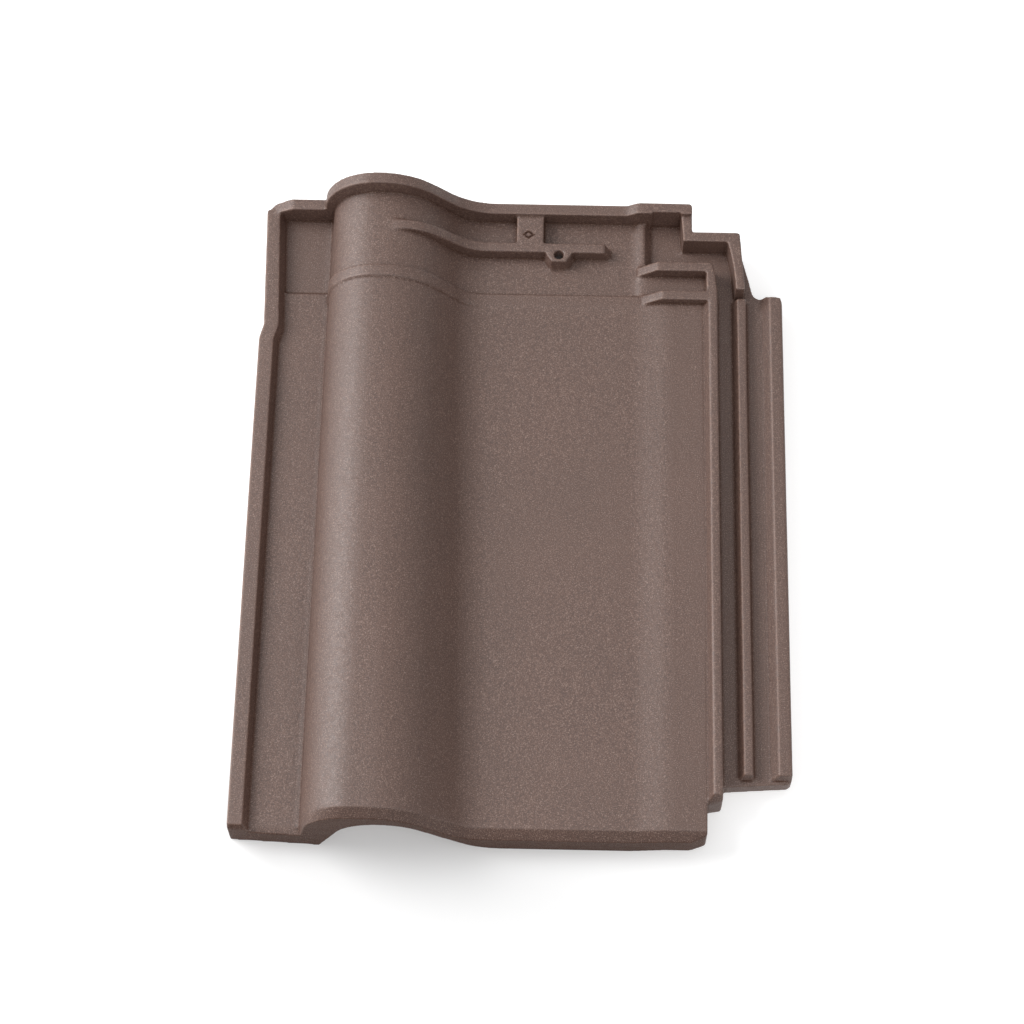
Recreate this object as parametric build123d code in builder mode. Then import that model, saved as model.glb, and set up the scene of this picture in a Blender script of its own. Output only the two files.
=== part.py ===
from build123d import *
import os

os.makedirs("parts", exist_ok=True)

# Clay verge tile, lying flat on its nose lip and on the two hanging nibs.
# X runs from the verge (left) to the interlock (right), Y from the nose to the head, Z up.
# In the sketches u is measured from the left edge and v from the nose, all in mm.

# Overall size
width = 330
length = 420

# Heights above the bed
pan_top = 21
pan_under = 10
strip_top = 18
strip_under = 7.5
lock_under = 4
channel_floor = 15
shoulder_rise = 3
head_drop = 2.4

# Roll, measured from the left edge
roll_left = 42.2
roll_shoulder = 97
roll_foot = 130
crown_top = 56.8
crown_radius = 31
shoulder_radius = 45
foot_radius = 23
roll_flare = 9.5
wall = 11

# Strip rim along the verge
rim_width = 9.3
rim_top = 25.5
rim_setback = 3.5
jog_depth = 2.6
jog_v = length - 98

# Right hand side, measured back from the interlock edge
pan_right = width - 91
shoulder_flat = width - 74
rib1_left = width - 47
rib1_right = width - 41.6
rib2_left = width - 28.5
rib2_right = width - 23
rib3_left = width - 8
rib1_top = 29.7
lock_rib_top = 21.6
nose_right = width - 50.5

# Nose
nose_skew = 2.2
bevel_depth = 6
bevel_drop = 4.8
lip_depth = 20
arch_top = 40.6

# Head, measured back from the head edge
step_v = length - 61.2
bead_width = 8
bead_height = 1.6
head_rim_width = 7.5
corner_wall = 6.4
strip_rim_top = 31
pan_rim_top = 29.9
corner_rim_top = 34
stepped_rim_top = 31
step_rim_v = length - 18.8
step_rim_width = 6.6
corner_rim_left = width - 64.8
corner_rim_right = width - 57.3
cross_rib_v = length - 40
rib_width = 6.5
recess_left = width - 83
recess_slope = 4.2
nail_rib_v = length - 27
nail_rib_width = 6.7
nail_rib_top = 27.8
nail_rib_end = 217
web_left = 160.7
web_right = 178

# Nail hole and its boss
hole_u = 187.9
hole_v = length - 35.4
hole_diameter = 5.9
boss_reach = 4.8
boss_half_width = 8

# Hanging nibs
nib_width = 34
nib_depth = 16
nib_v = length - 17
nib_left_u = 190
nib_right_u = width - 75


def across(v):
    """Upright sketch plane at v: local x is u, local y is height, normal towards the nose."""
    return Plane(origin=(-width / 2, v - length / 2, 0), x_dir=(1, 0, 0), z_dir=(0, -1, 0))


def level(z):
    """Flat sketch plane at height z: local x is u, local y is v."""
    return Plane(origin=(-width / 2, -length / 2, z), x_dir=(1, 0, 0), z_dir=(0, 0, 1))


def outline(*corners):
    """Closed outline through corners given as (x, y, corner radius)."""
    return FilletPolyline(
        *[(x, y) for x, y, _ in corners],
        radius=[radius for _, _, radius in corners],
        close=True,
    )


def roll(offset, floor, flare=0):
    """Three corners of the roll, moved out from its surface by offset and ending on floor."""
    shoulder = roll_shoulder + 0.44 * offset + 0.5 * flare
    foot = roll_foot + 0.44 * offset + flare
    lean = (foot - shoulder) / (crown_top - pan_top)
    return (
        (roll_left + 2.6 - offset, crown_top + offset, crown_radius + offset),
        (shoulder, crown_top + offset, shoulder_radius + offset),
        (foot + (pan_top + offset - floor) * lean, floor, foot_radius - offset),
    )


with BuildPart() as verge_tile:
    # Main plate: bevelled nose, then the roll narrowing up to the step line
    for v, sink, flare in ((0, bevel_drop, roll_flare), (bevel_depth, 0, roll_flare), (step_v, 0, 0)):
        with BuildSketch(across(v)):
            with BuildLine():
                outline(
                    (0, 0, 0),
                    (0, strip_top - 0.5 * sink, 0),
                    (roll_left, strip_top - 0.5 * sink, 2),
                    *roll(-sink, pan_top - sink, flare),
                    (pan_right, pan_top - sink, 40),
                    (shoulder_flat, pan_top + shoulder_rise - sink, 40),
                    (rib1_left - 3, pan_top + shoulder_rise - sink, 1.2),
                    (rib1_left, rib1_top - sink, 1.5),
                    (rib1_right, rib1_top - sink, 1.2),
                    (rib1_right + 0.5, channel_floor - sink, 1.5),
                    (rib2_left - 2.9, channel_floor - sink, 1.5),
                    (rib2_left, lock_rib_top - sink, 1.2),
                    (rib2_right, lock_rib_top - sink, 1.2),
                    (rib2_right + 0.4, channel_floor - sink, 1.5),
                    (rib3_left - 5, channel_floor - sink, 1.5),
                    (rib3_left, lock_rib_top - sink, 1.2),
                    (width, lock_rib_top - sink, 1.8),
                    (width, 0, 0),
                )
            make_face()
    loft(ruled=True)

    # Head plate, a little lower because the next course lies on it
    with BuildSketch(across(length)):
        with BuildLine():
            outline(
                (0, 0, 0),
                (0, strip_top - head_drop, 0),
                (roll_left, strip_top - head_drop, 2),
                *roll(-head_drop, pan_top - head_drop),
                (pan_right - 2.5, pan_top - head_drop, 4),
                (pan_right + 1.2, pan_top - 0.3, 3),
                (rib1_right + 1, pan_top - 0.3, 0),
                (rib1_right + 1, channel_floor, 0),
                (width, channel_floor, 0),
                (width, 0, 0),
            )
        make_face()
    extrude(amount=length - step_v)

    # Head rim, standing on the strip, the roll and the pan
    with BuildSketch(across(length)):
        with BuildLine():
            outline(
                (0, 0, 0),
                (0, rim_top - 2, 0),
                (5, rim_top - 0.5, 3),
                (17, strip_rim_top, 3),
                (roll_left - 4, strip_rim_top, 1.5),
                (roll_left - 2, crown_top + 9, crown_radius + 3.5),
                (roll_shoulder - 3, crown_top + 9, shoulder_radius),
                (roll_foot + 1.5, pan_rim_top, foot_radius + 20),
                (pan_right - 8, pan_rim_top, 8),
                (pan_right - 1, corner_rim_top, 8),
                (corner_rim_right, corner_rim_top, 0),
                (corner_rim_right, 0, 0),
            )
        make_face()
    extrude(amount=head_rim_width)

    # Water recess in the head corner, running round into the first channel
    with BuildSketch(level(channel_floor)):
        with BuildLine():
            Polyline(
                (recess_left, cross_rib_v),
                (recess_left, length - corner_wall),
                (corner_rim_left + 0.5, length - corner_wall),
                (corner_rim_left + 1.8, step_rim_v - step_rim_width),
                (rib1_right + 2, step_rim_v - step_rim_width),
                (rib1_right + 2, step_v),
                (rib1_right + 0.4, step_v),
                (rib1_right - 1.2, step_v + 12.4),
                (rib1_right - 3.3, cross_rib_v),
                close=True,
            )
        make_face()
    extrude(amount=20, mode=Mode.SUBTRACT)

    # Sloping left side of the recess
    with BuildSketch(across(length - head_rim_width)):
        with BuildLine():
            Polyline(
                (recess_left, channel_floor),
                (recess_left - recess_slope, pan_top - 0.3),
                (recess_left - recess_slope, pan_top + 2),
                (recess_left + 1, pan_top + 2),
                (recess_left + 1, channel_floor),
                close=True,
            )
        make_face()
    extrude(amount=length - head_rim_width - cross_rib_v - 1.5, mode=Mode.SUBTRACT)

    # Bead across the roll at the step line, dying out on the pan
    with BuildSketch(across(step_v)):
        with BuildLine():
            outline(
                (roll_left - 0.8, 2, 0),
                (roll_left - 0.8, strip_top, 0),
                *roll(bead_height, pan_top + 0.5),
                (pan_right, pan_top + 0.5, 0),
                (pan_right, 2, 0),
            )
        make_face()
    extrude(amount=bead_width)

    # Stepped rim round the head corner and down beside the first channel
    with BuildSketch(level(2)):
        with BuildLine():
            Polyline(
                (width - 24.2, step_v + 1.4),
                (width - 25.9, length - 35),
                (width - 27, step_rim_v),
                (corner_rim_right, step_rim_v),
                (corner_rim_right, length),
                (corner_rim_left, length),
                (corner_rim_left + 1.8, step_rim_v - step_rim_width),
                (width - 34.8, step_rim_v - step_rim_width),
            )
            ThreePointArc(
                (width - 34.8, step_rim_v - step_rim_width),
                (width - 31.4, length - 43),
                (width - 30, step_v + 1.4),
            )
            Line((width - 30, step_v + 1.4), (width - 24.2, step_v + 1.4))
        make_face()
    extrude(amount=stepped_rim_top - 2)

    # Head end of the outer rib
    with BuildSketch(across(step_v + 5)):
        with BuildLine():
            outline(
                (rib3_left - 5, 2, 0),
                (rib3_left - 5, channel_floor, 0),
                (rib3_left, lock_rib_top, 1.2),
                (width, lock_rib_top, 1.8),
                (width, 2, 0),
            )
        make_face()
    extrude(amount=5)

    # Head end of the first rib
    with BuildSketch(level(2)):
        with BuildLine():
            Polyline(
                (rib1_left - 1.3, step_v - 1),
                (rib1_right, step_v - 1),
                (rib1_right - 1.2, step_v + 12.4),
                (rib1_right - 3.3, cross_rib_v),
                (rib1_left - 1.5, cross_rib_v),
                close=True,
            )
        make_face()
    extrude(amount=rib1_top - 2)

    # Two cross ribs joining the first rib, each running out at its left end
    for back, toe, run in ((cross_rib_v, pan_right - 1, 12.5), (step_v + 0.6, pan_right + 0.5, 14)):
        with BuildSketch(across(back)):
            with BuildLine():
                outline(
                    (toe, 2, 0),
                    (toe, pan_top - 0.5, 0),
                    (toe + run, rib1_top, 3),
                    (rib1_left + 1, rib1_top, 0),
                    (rib1_left + 1, 2, 0),
                )
            make_face()
        extrude(amount=rib_width)

    # Nail rib, rising out of the roll
    with BuildSketch(across(nail_rib_v)):
        with BuildLine():
            outline(
                (roll_shoulder - 18, 2, 0),
                (roll_shoulder - 18, crown_top - head_drop - 0.3, 0),
                (roll_shoulder + 2, crown_top - 0.6, shoulder_radius - 8),
                (roll_foot + 2.4, nail_rib_top, foot_radius + 7),
                (nail_rib_end, nail_rib_top, 1.5),
                (nail_rib_end + 4, pan_top - head_drop, 0),
                (nail_rib_end + 4, 2, 0),
            )
        make_face()
    extrude(amount=nail_rib_width)

    # Web between the nail rib and the head rim
    with BuildSketch(level(2)):
        with BuildLine():
            Polyline(
                (web_left, nail_rib_v - 1),
                (web_right, nail_rib_v - 1),
                (web_right, length - 1),
                (web_left, length - 1),
                close=True,
            )
        make_face()
    extrude(amount=nail_rib_top - 2)

    # Nail boss, a drafted half octagon in front of the rib
    with BuildSketch(level(nail_rib_top)):
        with BuildLine():
            Polyline(
                (hole_u - boss_half_width, hole_v + 4),
                (hole_u - boss_half_width, hole_v + 0.4),
                (hole_u - 4.6, hole_v - boss_reach),
                (hole_u + 4.6, hole_v - boss_reach),
                (hole_u + boss_half_width, hole_v + 0.4),
                (hole_u + boss_half_width, hole_v + 4),
                close=True,
            )
        make_face()
    extrude(amount=-12, taper=-8)

    # Rim along the verge, stepping in beside the head lap
    with BuildSketch(level(rim_top)):
        with BuildLine():
            Polyline(
                (-5, rim_setback),
                (rim_width, rim_setback),
                (rim_width, jog_v),
                (rim_width + jog_depth, jog_v + 10),
                (rim_width - 1, length - 5),
                (-5, length - 5),
                close=True,
            )
        make_face()
    extrude(amount=-(rim_top - strip_top + 3), taper=-18)

    # Plan outline
    with BuildSketch(level(-1)):
        with BuildLine():
            outline(
                (0, 0, 2.5),
                (0, jog_v, 8),
                (jog_depth, jog_v + 10, 8),
                (0.2, length - 6, 2),
                (5, length - 0.8, 4),
                (12, length, 0),
                (corner_rim_right, length, 2),
                (corner_rim_right, step_rim_v, 1.5),
                (width - 27, step_rim_v, 2.5),
                (width - 20, length - 47, 12),
                (width - 17.6, step_v + 3, 5.5),
                (width - 9.5, step_v + 3, 0),
                (width - 8, step_v + 1.6, 1),
                (width - 1.2, step_v + 1.2, 1.5),
                (width, step_v - 3, 3),
                (width, 40, 1.2),
                (width - 2.5, 38, 2),
                (width - 40, 35.5, 1.5),
                (width - 41.6, 24, 1.5),
                (nose_right, 22.4, 1),
                (nose_right, 3.5, 2),
                (nose_right - 9, 0, 8),
            )
        make_face()
    extrude(amount=90, mode=Mode.INTERSECT)

    # Nose edge of the strip, running slightly back towards the verge
    with BuildSketch(level(-1)):
        with BuildLine():
            Polyline(
                (roll_left + 8, 0),
                (0, nose_skew),
                (-3, nose_skew),
                (-3, -3),
                (roll_left + 8, -3),
                close=True,
            )
        make_face()
    extrude(amount=60, mode=Mode.SUBTRACT)

    # Bevelled front ends of the right hand ribs
    with BuildSketch(Plane.YZ.offset(width / 2 + 1)):
        with BuildLine():
            Polyline(
                (41.5 - length / 2, lock_rib_top + 1),
                (39.5 - length / 2, channel_floor),
                (30 - length / 2, channel_floor),
                (30 - length / 2, lock_rib_top + 1),
                close=True,
            )
        make_face()
    extrude(amount=-(width - rib1_right - 1), mode=Mode.SUBTRACT)
    with BuildSketch(Plane.YZ.offset(rib1_right - width / 2 + 2)):
        with BuildLine():
            Polyline(
                (27 - length / 2, rib1_top + 1),
                (22 - length / 2, pan_top + shoulder_rise - 4),
                (18 - length / 2, pan_top + shoulder_rise - 4),
                (18 - length / 2, rib1_top + 1),
                close=True,
            )
        make_face()
    extrude(amount=-(rib1_right - nose_right + 2), mode=Mode.SUBTRACT)

    # Hollow underside behind the nose lip, following the roll
    for v, flare in ((lip_depth, roll_flare), (step_v, 0)):
        with BuildSketch(across(v)):
            with BuildLine():
                outline(
                    (-2, -2, 0),
                    (-2, strip_under, 0),
                    (roll_left + wall, strip_under, 3),
                    *roll(-wall, pan_under, flare),
                    (shoulder_flat + 8, pan_under, 5),
                    (shoulder_flat + 16, lock_under, 5),
                    (width + 2, lock_under, 0),
                    (width + 2, -2, 0),
                )
            make_face()
    loft(ruled=True, mode=Mode.SUBTRACT)
    with BuildSketch(across(length + 1)):
        with BuildLine():
            outline(
                (-2, -2, 0),
                (-2, strip_under, 0),
                (roll_left + wall, strip_under, 3),
                *roll(-wall, pan_under),
                (shoulder_flat + 8, pan_under, 5),
                (shoulder_flat + 16, lock_under, 5),
                (width + 2, lock_under, 0),
                (width + 2, -2, 0),
            )
        make_face()
    extrude(amount=length + 1 - step_v, mode=Mode.SUBTRACT)

    # Arch through the nose lip, and the lip's rise under the right shoulder
    with BuildSketch(across(lip_depth + 1)):
        with BuildLine():
            outline(
                (roll_left + 9.8, -2, 0),
                (roll_left + 10.5, 0, 0),
                (roll_left + 28.8, arch_top, 26),
                (roll_shoulder + 5, arch_top, 32),
                (roll_foot + 15.5, 0, 31),
                (pan_right - 2, 0, 8),
                (shoulder_flat, shoulder_rise, 8),
                (nose_right + 2, shoulder_rise, 0),
                (nose_right + 2, -2, 0),
            )
        make_face()
    extrude(amount=lip_depth + 2, mode=Mode.SUBTRACT)

    # Hanging nibs under the head
    with BuildSketch(level(0)):
        with Locations((nib_left_u, nib_v), (nib_right_u, nib_v)):
            RectangleRounded(nib_width, nib_depth, 3)
    extrude(amount=pan_under + 2, taper=-8)

    # Nail hole
    with BuildSketch(level(0)):
        with Locations((hole_u, hole_v)):
            Circle(hole_diameter / 2)
    extrude(amount=40, mode=Mode.SUBTRACT)

    # Pressed mark on the web
    with BuildSketch(level(nail_rib_top)):
        with Locations(((web_left + web_right) / 2 - 1, nail_rib_v + 6)):
            Polygon((-3.4, 0), (0, -2.7), (3.4, 0), (0, 2.7))
    extrude(amount=-0.8, mode=Mode.SUBTRACT)

verge_tile.part.label = "verge_tile"
export_step(verge_tile.part, "parts/verge_tile.step")
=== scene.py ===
"""Clay verge tile: the pressed and fired body, its brown slip and the studio around it."""

import math

import bmesh
import bpy
import numpy as np
from bpy.props import FloatProperty, FloatVectorProperty, IntProperty, PointerProperty
from mathutils import Euler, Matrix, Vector, noise


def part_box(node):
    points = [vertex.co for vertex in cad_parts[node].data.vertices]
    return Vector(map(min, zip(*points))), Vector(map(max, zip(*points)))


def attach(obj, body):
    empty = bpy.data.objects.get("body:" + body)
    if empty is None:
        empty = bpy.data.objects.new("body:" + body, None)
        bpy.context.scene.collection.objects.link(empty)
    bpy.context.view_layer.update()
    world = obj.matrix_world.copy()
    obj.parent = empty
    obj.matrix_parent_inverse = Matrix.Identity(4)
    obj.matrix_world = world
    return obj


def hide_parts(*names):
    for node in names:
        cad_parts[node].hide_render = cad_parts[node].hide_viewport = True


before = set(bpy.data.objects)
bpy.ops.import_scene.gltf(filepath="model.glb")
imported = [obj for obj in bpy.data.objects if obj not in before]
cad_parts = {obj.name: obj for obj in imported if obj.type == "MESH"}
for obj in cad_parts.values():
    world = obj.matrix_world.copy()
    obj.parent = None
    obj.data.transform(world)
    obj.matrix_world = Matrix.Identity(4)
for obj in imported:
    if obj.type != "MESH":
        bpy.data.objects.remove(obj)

bl_info = {
    "name": "Clay Verge Tile",
    "version": (1, 0, 0),
    "blender": (4, 5, 0),
    "location": "View3D > Sidebar > Verge Tile",
    "description": "Builds a pressed clay verge tile with an engobed surface",
    "category": "Object",
}

MM = 0.001

# Diamond pressed beside the nail hole: place and half sizes, in mm
MARK = (3.35, 189.0, 3.4, 2.7)
# How far the clay stands up again inside the groove of the diamond
MARK_ISLAND = 0.75 * MM
# Small lumps and dents of the pressing: place, reach and rise, all in mm
LUMPS = (
    (-97.0, 203.0, 64.0, 2.6, 1.3),
    (-137.0, 199.5, 28.0, 3.4, 1.6),
    (-131.5, 200.5, 27.0, 2.4, 1.0),
    (104.0, -196.0, 24.0, 3.0, -0.8),
    (-164.0, -40.0, 27.0, 3.5, -1.0),
)
# Curvature in 1/m from which an edge is kept crisp, which is a radius of 11 mm
CRISP_BEND = 90
# Steps in which the smoothing fades from the broad faces to the crisp edges
FADE_STEPS = 4
# Waves in a metre of the firing warp, and of the unevenness left by the press
WARP_WAVES = 22
RIPPLE_WAVES = 140
# Width of the clouds that the spray of slip leaves
CLOUD_WIDTH = 60 * MM

# Distances at which the painted glow of the floor starts and is full, from its dimmest place
GLOW_REACH = (100 * MM, 280 * MM)
FLOOR_SIZE = 12.0
SENSOR_WIDTH_MM = 36.0


def linear(hex_colour):
    """Turns an sRGB hex colour into linear RGBA."""
    parts = [int(hex_colour[i : i + 2], 16) / 255 for i in (1, 3, 5)]
    return (*[c / 12.92 if c <= 0.04045 else ((c + 0.055) / 1.055) ** 2.4 for c in parts], 1.0)


def add_node(tree, kind, settings=(), links=()):
    """Adds a node, sets its fields and sockets, and links its inputs."""
    node = tree.nodes.new(kind)
    for key, value in dict(settings).items():
        if isinstance(key, str) and hasattr(node, key):
            setattr(node, key, value)
        else:
            node.inputs[key].default_value = value
    for key, source in dict(links).items():
        tree.links.new(source, node.inputs[key])
    return node


class ClayBodySettings(bpy.types.PropertyGroup):
    """Sizes of the pressed body."""

    grid: FloatProperty(
        name="Surface grid",
        description="Spacing of the grid that the pressed skin is built on",
        default=0.65 * MM,
        min=0.5 * MM,
        unit="LENGTH",
    )
    soften: IntProperty(
        name="Edge softening",
        description="Passes of smoothing that round the pressed edges",
        default=4,
        min=0,
    )
    even_passes: IntProperty(
        name="Evening",
        description="Passes of smoothing that even out the broad faces between the edges",
        default=40,
        min=0,
    )
    shade_passes: IntProperty(
        name="Even shading",
        description="Passes that even out the shading of the broad faces",
        default=25,
        min=0,
    )
    triangles: IntProperty(
        name="Triangles",
        description="Most triangles that the body may have",
        default=190000,
        min=20000,
    )
    warp: FloatProperty(
        name="Firing warp",
        description="How far the broad faces wander after firing",
        default=0.2 * MM,
        min=0.0,
        unit="LENGTH",
    )
    ripple: FloatProperty(
        name="Edge ripple",
        description="Small unevenness that the clay keeps from the press",
        default=0.1 * MM,
        min=0.0,
        unit="LENGTH",
    )
    # Also how far the painted highlight and the painted shade of inner corners reach round an
    # edge
    wear_reach: FloatProperty(
        name="Edge wear reach",
        description="How far round an outer edge the slip is rubbed thin",
        default=1.2 * MM,
        min=0.1 * MM,
        unit="LENGTH",
    )


class EngobeSettings(bpy.types.PropertyGroup):
    """Colours and grain of the fired slip."""

    slip: FloatVectorProperty(
        name="Slip",
        description="Main colour of the brown slip",
        subtype="COLOR",
        size=4,
        min=0.0,
        max=1.0,
        default=linear("#66493c"),
    )
    slip_dark: FloatVectorProperty(
        name="Dark slip",
        description="Slip where it lies thicker, between the grains",
        subtype="COLOR",
        size=4,
        min=0.0,
        max=1.0,
        default=linear("#48322a"),
    )
    slip_light: FloatVectorProperty(
        name="Light grains",
        description="Pale sand grains that stand through the slip",
        subtype="COLOR",
        size=4,
        min=0.0,
        max=1.0,
        default=linear("#8e796f"),
    )
    # Also the colour of the painted highlight on edges that face the key light
    bare_clay_and_highlight: FloatVectorProperty(
        name="Bare clay",
        description="Red-brown body that shows where an edge is rubbed",
        subtype="COLOR",
        size=4,
        min=0.0,
        max=1.0,
        default=linear("#8a6a5a"),
    )
    sheen: FloatProperty(
        name="Sheen",
        description="Strength of the dull gloss of the fired slip",
        default=1.0,
        min=0.0,
        max=1.0,
        subtype="FACTOR",
    )
    # Depth of the painted shade on the nose faces, in the mark's groove and in inner corners
    painted_shade_depth: FloatProperty(
        name="Dry shade",
        description="How much darker the slip is where it lies dull",
        default=0.3,
        min=0.0,
        max=1.0,
        subtype="FACTOR",
    )
    roughness: FloatProperty(
        name="Roughness",
        description="Roughness of the fired slip",
        default=0.56,
        min=0.1,
        max=0.9,
        subtype="FACTOR",
    )
    grain: FloatProperty(
        name="Grain",
        description="Size of the sand grains in the surface",
        default=0.65 * MM,
        min=0.1 * MM,
        unit="LENGTH",
    )
    relief: FloatProperty(
        name="Grain relief",
        description="Height of the grains above the slip",
        default=0.16 * MM,
        min=0.0,
        unit="LENGTH",
    )


class StageSettings(bpy.types.PropertyGroup):
    """Camera, floor and lights."""

    lens: FloatProperty(
        name="Lens",
        description="Focal length on a 36 mm sensor",
        default=94.22,
        min=10.0,
    )
    pitch: FloatProperty(
        name="Pitch",
        description="How far the camera looks down",
        default=math.radians(65.9),
        subtype="ANGLE",
    )
    heading: FloatProperty(
        name="Heading",
        description="Turn of the camera to the left of the tile's length",
        default=math.radians(1.2),
        subtype="ANGLE",
    )
    eye: FloatVectorProperty(
        name="Eye",
        description="Place of the camera",
        default=(0.01071, -0.67244, 1.51883),
        subtype="TRANSLATION",
        unit="LENGTH",
    )
    floor_colour: FloatVectorProperty(
        name="Floor",
        description="Colour of the pale floor",
        subtype="COLOR",
        size=4,
        min=0.0,
        max=1.0,
        default=linear("#dcdcdc"),
    )
    # Painted glow of the floor in the patch in front of the nose, where the cast shadow stays
    floor_glow: FloatProperty(
        name="Floor glow",
        description="Light that the board passes up where there is no lamp below it",
        default=0.17,
        min=0.0,
    )
    # Painted glow of the floor elsewhere, which fills in the cast shadows of the tile
    shadow_fill_glow: FloatProperty(
        name="Lamp glow",
        description="Light that the board passes up above the lamps below it",
        default=0.56,
        min=0.0,
    )
    # Middle of the patch where the painted glow is least
    kept_shadow_place: FloatVectorProperty(
        name="Unlit place",
        description="Middle of the patch in front of the nose that has no lamp below it",
        default=(-0.05, -0.32, 0.0),
        subtype="TRANSLATION",
        unit="LENGTH",
    )
    key_power: FloatProperty(
        name="Key light",
        description="Power of the large soft light at the upper left",
        default=53.0,
        min=0.0,
    )
    key_place: FloatVectorProperty(
        name="Key place",
        description="Place of the key light",
        default=(-1.85, 0.5, 1.5),
        subtype="TRANSLATION",
        unit="LENGTH",
    )
    key_size: FloatProperty(
        name="Light size",
        description="Diameter of the key light and of the fill light",
        default=1.6,
        min=0.01,
        unit="LENGTH",
    )
    fill_power: FloatProperty(
        name="Fill light",
        description="Power of the weak light at the front right",
        default=10.0,
        min=0.0,
    )
    fill_place: FloatVectorProperty(
        name="Fill place",
        description="Place of the fill light",
        default=(0.7, -1.3, 1.7),
        subtype="TRANSLATION",
        unit="LENGTH",
    )
    tent_side: FloatVectorProperty(
        name="Tent side",
        description="Direction of the brightest part of the cloth tent",
        default=(-0.15, 0.08, 0.98),
        subtype="DIRECTION",
    )
    sky: FloatProperty(
        name="Tent light",
        description="Strength of the brightest part of the tent",
        default=0.75,
        min=0.0,
    )
    tent_dim: FloatProperty(
        name="Tent shade",
        description="Strength of the dimmest part of the tent",
        default=0.2,
        min=0.0,
    )


def slip_patterns(tree, settings):
    """Noise for the sand grains, for their clumps and for the clouds of the spray."""
    place = add_node(tree, "ShaderNodeNewGeometry").outputs["Position"]
    patterns = []
    # Real grains of 0.3 mm are too fine to show, so they are drawn about twice as wide.
    # A clump is five grains wide.
    for width, detail, roughness in (
        (settings.grain, 2.0, 0.6),
        (5 * settings.grain, 4.0, 0.55),
        (CLOUD_WIDTH, 2.0, 0.5),
    ):
        pattern = add_node(
            tree,
            "ShaderNodeTexNoise",
            {"Scale": 1.0 / width, "Detail": detail, "Roughness": roughness},
            {"Vector": place},
        )
        patterns.append(pattern.outputs["Fac"])
    return patterns


def slip_colour(tree, settings, grains, clouds, painted_shade_and_matt):
    """Brown slip with dark hollows and pale grains, clouded, and with painted shade on top."""
    covered = add_node(
        tree,
        "ShaderNodeMapRange",
        {"From Min": 0.36, "From Max": 0.62},
        {"Value": grains},
    ).outputs["Result"]
    brown = add_node(
        tree,
        "ShaderNodeMix",
        {"data_type": "RGBA", 6: settings.slip_dark, 7: settings.slip},
        {0: covered},
    ).outputs[2]
    bright = add_node(
        tree,
        "ShaderNodeMapRange",
        {"From Min": 0.56, "From Max": 0.7, "To Max": 0.85},
        {"Value": grains},
    ).outputs["Result"]
    grainy = add_node(
        tree,
        "ShaderNodeMix",
        {"data_type": "RGBA", 7: settings.slip_light},
        {0: bright, 6: brown},
    ).outputs[2]
    cloudy = add_node(
        tree,
        "ShaderNodeMapRange",
        {"From Min": 0.3, "From Max": 0.7, "To Min": 0.95, "To Max": 1.05},
        {"Value": clouds},
    ).outputs["Result"]
    # Painted shade on the nose faces, in the mark's groove and in inner corners, over the clouds
    clouds_and_painted_shade = add_node(
        tree,
        "ShaderNodeMath",
        {"operation": "MULTIPLY_ADD", 1: -settings.painted_shade_depth},
        {0: painted_shade_and_matt, 2: cloudy},
    ).outputs[0]
    return add_node(
        tree,
        "ShaderNodeVectorMath",
        {"operation": "SCALE"},
        {0: grainy, "Scale": clouds_and_painted_shade},
    ).outputs[0]


def rubbed_and_lit_colour(tree, settings, slip, clumps):
    """The slip, with paler clay in patches along the rubbed edges, also a painted highlight
    where they face the key light.
    """
    wear_and_highlight = add_node(tree, "ShaderNodeAttribute", {"attribute_name": "wear_and_highlight"}).outputs["Fac"]
    patches = add_node(
        tree,
        "ShaderNodeMapRange",
        {"From Min": 0.35, "From Max": 0.62, "To Min": 0.15},
        {"Value": clumps},
    ).outputs["Result"]
    bare_and_lit = add_node(
        tree,
        "ShaderNodeMath",
        {"operation": "MULTIPLY"},
        {0: wear_and_highlight, 1: patches},
    ).outputs[0]
    return add_node(
        tree,
        "ShaderNodeMix",
        {"data_type": "RGBA", 7: settings.bare_clay_and_highlight},
        {0: bare_and_lit, 6: slip},
    ).outputs[2]


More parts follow.
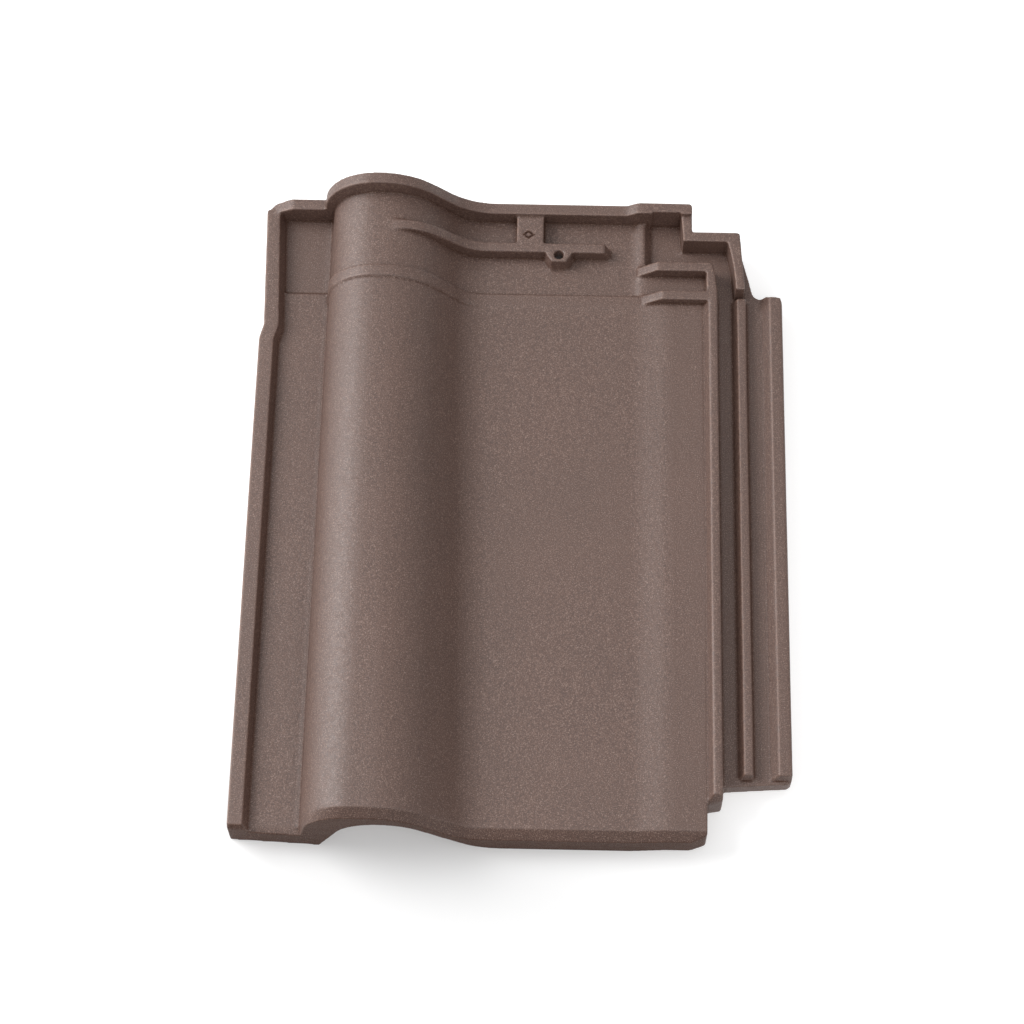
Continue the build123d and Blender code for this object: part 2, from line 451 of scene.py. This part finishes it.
def engobe_material(settings):
    """Brown engobe on pressed terracotta, fired matt.

    The slip is a thin clay wash sprayed on before firing: no gloss, a dense fine speckle from
    the sand in the body, soft clouds from the spray, and rubbed red-brown edges on the ribs.
    The pale rubbed edges are also a painted highlight where they face the key light, and painted
    shade darkens the nose faces, the groove of the mark and the inner corners.
    """
    material = bpy.data.materials.new("engobed_terracotta")
    material.use_nodes = True
    tree = material.node_tree
    tree.nodes.clear()
    grains, clumps, clouds = slip_patterns(tree, settings)
    # Mask of the painted shade, which also makes the slip matt
    painted_shade_and_matt = add_node(tree, "ShaderNodeAttribute", {"attribute_name": "painted_shade_and_matt"}).outputs["Fac"]
    slip = slip_colour(tree, settings, grains, clouds, painted_shade_and_matt)
    rough = add_node(
        tree,
        "ShaderNodeMapRange",
        {
            "From Min": 0.3,
            "From Max": 0.7,
            "To Min": settings.roughness - 0.05,
            "To Max": settings.roughness + 0.05,
        },
        {"Value": clumps},
    ).outputs["Result"]
    # Clumps stand up 1.6 times as far as single grains
    fine_relief = add_node(
        tree,
        "ShaderNodeBump",
        {"Strength": 1.0, "Distance": settings.relief},
        {"Height": grains},
    ).outputs["Normal"]
    relief = add_node(
        tree,
        "ShaderNodeBump",
        {"Strength": 1.0, "Distance": settings.relief * 1.6},
        {"Height": clumps, "Normal": fine_relief},
    ).outputs["Normal"]
    gloss = add_node(
        tree,
        "ShaderNodeMapRange",
        {"To Min": settings.sheen, "To Max": 0.1},
        {"Value": painted_shade_and_matt},
    ).outputs["Result"]
    shader = add_node(
        tree,
        "ShaderNodeBsdfPrincipled",
        {"IOR": 1.5},
        {
            "Base Color": rubbed_and_lit_colour(tree, settings, slip, clumps),
            "Roughness": rough,
            "Normal": relief,
            "Specular IOR Level": gloss,
        },
    )
    add_node(tree, "ShaderNodeOutputMaterial", links={"Surface": shader.outputs[0]})
    return material


def evaluated_mesh(thing, name):
    """The mesh of an object with its modifiers applied."""
    graph = bpy.context.evaluated_depsgraph_get()
    mesh = bpy.data.meshes.new_from_object(thing.evaluated_get(graph))
    mesh.name = name
    return mesh


def read(items, field, width, kind=np.float32):
    """One field of all points or edges of a mesh, as rows of numbers."""
    values = np.empty(len(items) * width, kind)
    items.foreach_get(field, values)
    return values.reshape(-1, width) if width > 1 else values


def keep(mesh, name, values):
    """Keeps one number for each point of a mesh."""
    mesh.attributes.new(name, "FLOAT", "POINT").data.foreach_set("value", values)


def neighbour_mean(values, ends, passes, hold=0.0):
    """Averages a value over each point and its neighbours, less where it is held."""
    near = np.bincount(ends.ravel(), minlength=len(values)) + 1
    for _ in range(passes):
        total = values + np.bincount(ends[:, 0], values[ends[:, 1]], len(values))
        total += np.bincount(ends[:, 1], values[ends[:, 0]], len(values))
        values = hold * values + (1 - hold) * total / near
    return values


def bending(mesh):
    """Curvature of the surface at each point, in 1/m, positive on outer edges."""
    count = len(mesh.vertices)
    place = read(mesh.vertices, "co", 3)
    normal = read(mesh.vertices, "normal", 3)
    ends = read(mesh.edges, "vertices", 2, np.int32)
    step = place[ends[:, 1]] - place[ends[:, 0]]
    turn = ((normal[ends[:, 1]] - normal[ends[:, 0]]) * step).sum(1)
    bend = turn / np.maximum((step * step).sum(1), 1e-12)
    total = np.bincount(ends[:, 0], bend, count) + np.bincount(ends[:, 1], bend, count)
    near = np.bincount(ends.ravel(), minlength=count)
    return neighbour_mean(total / np.maximum(near, 1), ends, 2)


def smooth(thing, passes, group=""):
    """Smooths a mesh, everywhere or as far as a vertex group says."""
    soft = thing.modifiers.new("soft", "SMOOTH")
    soft.factor = 0.5
    soft.iterations = passes
    soft.vertex_group = group
    thing.data = evaluated_mesh(thing, thing.name)
    thing.modifiers.clear()


def mark_distance(place):
    """Distance from the middle of the pressed mark, 1 on its outline."""
    x, y, half_width, half_height = MARK
    return np.abs(place[:, 0] / MM - x) / half_width + np.abs(place[:, 1] / MM - y) / half_height


def raw_skin(node, settings):
    """A finely meshed copy of the tile, with its sharp edges rounded by the grid."""
    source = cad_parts[node].data.copy()
    work = bmesh.new()
    work.from_mesh(source)
    bmesh.ops.remove_doubles(work, verts=work.verts, dist=1e-6)
    work.to_mesh(source)
    work.free()
    source.materials.clear()
    body = bpy.data.objects.new("tile_body", source)
    bpy.context.scene.collection.objects.link(body)
    skin = body.modifiers.new("skin", "REMESH")
    skin.mode = "VOXEL"
    skin.voxel_size = settings.grid
    smooth(body, settings.soften)
    return body


def even_out(body, passes):
    """Smooths the broad faces, leaves edges and the mark crisp, and finishes the mark."""
    mesh = body.data
    ends = read(mesh.edges, "vertices", 2, np.int32)
    place = read(mesh.vertices, "co", 3)
    upward = np.clip(3 * read(mesh.vertices, "normal", 3)[:, 2], 0, 1)
    sharp = np.clip(np.abs(bending(mesh)) / CRISP_BEND - 1, 0, 1)
    crisp = np.clip(3 * neighbour_mean(sharp, ends, 3), 0, 1)
    # All within 1.7 times the size of the mark stays crisp too
    crisp = np.maximum(crisp, upward * (mark_distance(place) < 1.7))
    # The mark is a fine groove round an island, which is full to half the way out
    place[:, 2] += upward * np.clip(3 - 4 * mark_distance(place), 0, 1) * MARK_ISLAND
    mesh.vertices.foreach_set("co", place.ravel())
    group = body.vertex_groups.new(name="broad_faces")
    steps = np.round(crisp * FADE_STEPS)
    for step in range(FADE_STEPS):
        group.add(np.nonzero(steps == step)[0].tolist(), 1 - step / FADE_STEPS, "REPLACE")
    smooth(body, passes, group.name)
    body.vertex_groups.clear()
    keep(body.data, "crisp", crisp)


def wear_highlight_and_shade(mesh, wear_reach):
    """Keeps the rubbed edges and their painted highlight, and where shade is painted on and the
    slip is matt.
    """
    facing = read(mesh.vertices, "normal", 3)
    place = read(mesh.vertices, "co", 3)
    bend = bending(mesh) * wear_reach

    # Rubbed outer edges along the tile, with a painted highlight on those that face the key
    # light
    rubbed_and_lit = np.interp(bend, (0.1, 0.55), (0, 1))
    rubbed_and_lit *= np.interp(np.abs(facing[:, 1]), (0.05, 0.2375), (1, 0.25))
    rubbed_and_lit *= np.interp(facing[:, 0], (-0.3, 0.1), (1, 0.2))
    rubbed_and_lit *= np.interp(facing[:, 2], (0, 0.25), (0, 1))
    keep(mesh, "wear_and_highlight", rubbed_and_lit)

    # Painted shade and matt slip on nose and ledge faces, in the mark's groove and in inner
    # corners
    nose = np.interp(-place[:, 1] / MM, (150, 160, 190, 200), (0, 0.5, 0.5, 1))
    nose *= np.interp(-facing[:, 1], (0.3, 0.925), (0, 1))
    groove = np.interp(np.abs(mark_distance(place) - 0.9), (0.15, 0.4), (1.8, 0))
    groove *= np.interp(facing[:, 2], (0, 1 / 3), (0, 1))
    corners = np.interp(-bend, (0.06, 0.46), (0, 1))
    keep(mesh, "painted_shade_and_matt", nose + groove + corners)


def thin_out(body, triangles):
    """Brings the mesh down to a number of triangles, and keeps its edges."""
    body.data.calc_loop_triangles()
    thin = body.modifiers.new("thin", "DECIMATE")
    thin.ratio = min(1.0, triangles / len(body.data.loop_triangles))
    body.data = evaluated_mesh(body, body.name)
    body.modifiers.clear()


def warp_and_dent(mesh, settings, low, high):
    """Warps the tile a little, adds its lumps and dents, and keeps it in its box."""
    place = read(mesh.vertices, "co", 3)
    drift = np.array([
        noise.noise(Vector(point) * WARP_WAVES) * settings.warp
        + noise.noise(Vector(point) * RIPPLE_WAVES) * settings.ripple
        for point in place.tolist()
    ])
    place += read(mesh.vertices, "normal", 3) * drift[:, None]
    for x, y, z, reach, rise in LUMPS:
        far = np.linalg.norm(place / MM - (x, y, z), axis=1) / reach
        place[:, 2] += np.clip(1 - far**2, 0, 1) ** 2 * rise * MM
    place = np.clip(place, np.array(low, np.float32), np.array(high, np.float32))
    mesh.vertices.foreach_set("co", place.ravel())
    mesh.update()


def shade_evenly(mesh, passes):
    """Evens out the shading of the broad faces, and leaves it crisp at the edges."""
    ends = read(mesh.edges, "vertices", 2, np.int32)
    crisp = read(mesh.attributes["crisp"].data, "value", 1)
    parts = read(mesh.vertices, "normal", 3).T
    shade = np.stack([neighbour_mean(part, ends, passes, crisp) for part in parts], 1)
    shade /= np.maximum(np.linalg.norm(shade, axis=1, keepdims=True), 1e-6)
    mesh.shade_smooth()
    mesh.normals_split_custom_set_from_vertices(shade.tolist())


class VERGE_TILE_OT_body(bpy.types.Operator):
    """Builds the fired clay body of the tile"""

    bl_idname = "verge_tile.body"
    bl_label = "Clay Body"

    def execute(self, context):
        settings = context.scene.clay_body
        body = raw_skin("verge_tile", settings)
        even_out(body, settings.even_passes)
        wear_highlight_and_shade(body.data, settings.wear_reach)
        thin_out(body, settings.triangles)
        low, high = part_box("verge_tile")
        warp_and_dent(body.data, settings, low, high)
        shade_evenly(body.data, settings.shade_passes)
        body.data.materials.append(engobe_material(context.scene.engobe))
        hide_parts("verge_tile")
        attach(body, "root")
        return {"FINISHED"}


def glowing_floor(settings):
    """Matt white floor that glows everywhere but in a patch in front of the nose.

    The glow is painted light that fills in the cast shadows. It gives the eye a plain white
    ground, with a soft shadow only in that patch.
    """
    board = bpy.data.materials.new("floor_with_painted_glow")
    board.use_nodes = True
    tree = board.node_tree
    tree.nodes.clear()
    place = add_node(tree, "ShaderNodeNewGeometry").outputs["Position"]
    away = add_node(
        tree,
        "ShaderNodeVectorMath",
        {"operation": "DISTANCE", 1: settings.kept_shadow_place},
        {0: place},
    ).outputs["Value"]
    start, full = GLOW_REACH
    # Painted light: the floor glows least near the middle of the patch and fully beyond it
    glow = add_node(
        tree,
        "ShaderNodeMapRange",
        {
            "interpolation_type": "SMOOTHSTEP",
            "From Min": start,
            "From Max": full,
            "To Min": settings.floor_glow,
            "To Max": settings.shadow_fill_glow,
        },
        {"Value": away},
    ).outputs["Result"]
    shader = add_node(
        tree,
        "ShaderNodeBsdfPrincipled",
        {
            "Base Color": settings.floor_colour,
            "Roughness": 0.9,
            "Specular IOR Level": 0.1,
            "Emission Color": (1, 1, 1, 1),
        },
        {"Emission Strength": glow},
    )
    add_node(tree, "ShaderNodeOutputMaterial", links={"Surface": shader.outputs[0]})
    return board


def light_tent(settings):
    """Tent of white cloth, brightest overhead and a little to the left, dim near the floor."""
    world = bpy.data.worlds.new("light_tent")
    world.use_nodes = True
    tree = world.node_tree
    tree.nodes.clear()
    ray = add_node(tree, "ShaderNodeTexCoord").outputs["Generated"]
    facing = add_node(
        tree,
        "ShaderNodeVectorMath",
        {"operation": "DOT_PRODUCT", 1: settings.tent_side},
        {0: ray},
    ).outputs["Value"]
    level = add_node(
        tree,
        "ShaderNodeMapRange",
        {"From Min": -0.3, "From Max": 1.0, "To Min": settings.tent_dim, "To Max": settings.sky},
        {"Value": facing},
    ).outputs["Result"]
    cloth = add_node(tree, "ShaderNodeBackground", {"Color": (1, 1, 1, 1)}, {"Strength": level})
    add_node(tree, "ShaderNodeOutputWorld", links={"Surface": cloth.outputs[0]})
    return world


def hang_light(scene, name, power, spot, width):
    """Hangs a round soft light that points at the tile."""
    lamp = bpy.data.lights.new(name, "AREA")
    lamp.shape = "DISK"
    lamp.size = width
    lamp.energy = power
    light = bpy.data.objects.new(name, lamp)
    light.location = spot
    light.rotation_euler = (-light.location).to_track_quat("-Z", "Y").to_euler()
    scene.collection.objects.link(light)


def set_camera(scene, settings):
    """Adds the camera, which looks down on the tile from in front of its nose."""
    camera = bpy.data.cameras.new("camera")
    camera.sensor_width = SENSOR_WIDTH_MM
    camera.lens = settings.lens
    viewer = bpy.data.objects.new("camera", camera)
    viewer.location = settings.eye
    viewer.rotation_euler = Euler((math.pi / 2 - settings.pitch, 0, settings.heading))
    scene.collection.objects.link(viewer)
    scene.camera = viewer


class VERGE_TILE_OT_stage(bpy.types.Operator):
    """Sets up the floor, the lights and the camera"""

    bl_idname = "verge_tile.stage"
    bl_label = "Stage"

    def execute(self, context):
        scene = context.scene
        settings = scene.tile_stage
        bpy.ops.mesh.primitive_plane_add(size=FLOOR_SIZE, location=(0, 0, 0))
        floor = context.active_object
        floor.name = "floor"
        floor.data.materials.append(glowing_floor(settings))
        scene.world = light_tent(settings)
        size = settings.key_size
        hang_light(scene, "key_light", settings.key_power, settings.key_place, size)
        hang_light(scene, "fill_light", settings.fill_power, settings.fill_place, size)
        set_camera(scene, settings)
        scene.view_settings.view_transform = "Standard"
        return {"FINISHED"}


class VERGE_TILE_PT_panel(bpy.types.Panel):
    """Lists the pieces of the tile"""

    bl_idname = "VERGE_TILE_PT_panel"
    bl_label = "Verge Tile"
    bl_space_type = "VIEW_3D"
    bl_region_type = "UI"
    bl_category = "Verge Tile"

    def draw(self, context):
        scene = context.scene
        for title, group, operator in (
            ("Clay body", scene.clay_body, VERGE_TILE_OT_body),
            ("Engobe", scene.engobe, None),
            ("Stage", scene.tile_stage, VERGE_TILE_OT_stage),
        ):
            box = self.layout.box()
            box.label(text=title)
            for name in group.__annotations__:
                box.prop(group, name)
            if operator:
                box.operator(operator.bl_idname)


CLASSES = (
    ClayBodySettings,
    EngobeSettings,
    StageSettings,
    VERGE_TILE_OT_body,
    VERGE_TILE_OT_stage,
    VERGE_TILE_PT_panel,
)


def register():
    for item in CLASSES:
        bpy.utils.register_class(item)
    bpy.types.Scene.clay_body = PointerProperty(type=ClayBodySettings)
    bpy.types.Scene.engobe = PointerProperty(type=EngobeSettings)
    bpy.types.Scene.tile_stage = PointerProperty(type=StageSettings)


def unregister():
    del bpy.types.Scene.tile_stage
    del bpy.types.Scene.engobe
    del bpy.types.Scene.clay_body
    for item in reversed(CLASSES):
        bpy.utils.unregister_class(item)


def main():
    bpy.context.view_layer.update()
    register()
    bpy.ops.verge_tile.body()
    bpy.ops.verge_tile.stage()
    bpy.context.view_layer.update()


if __name__ == "__main__":
    main()
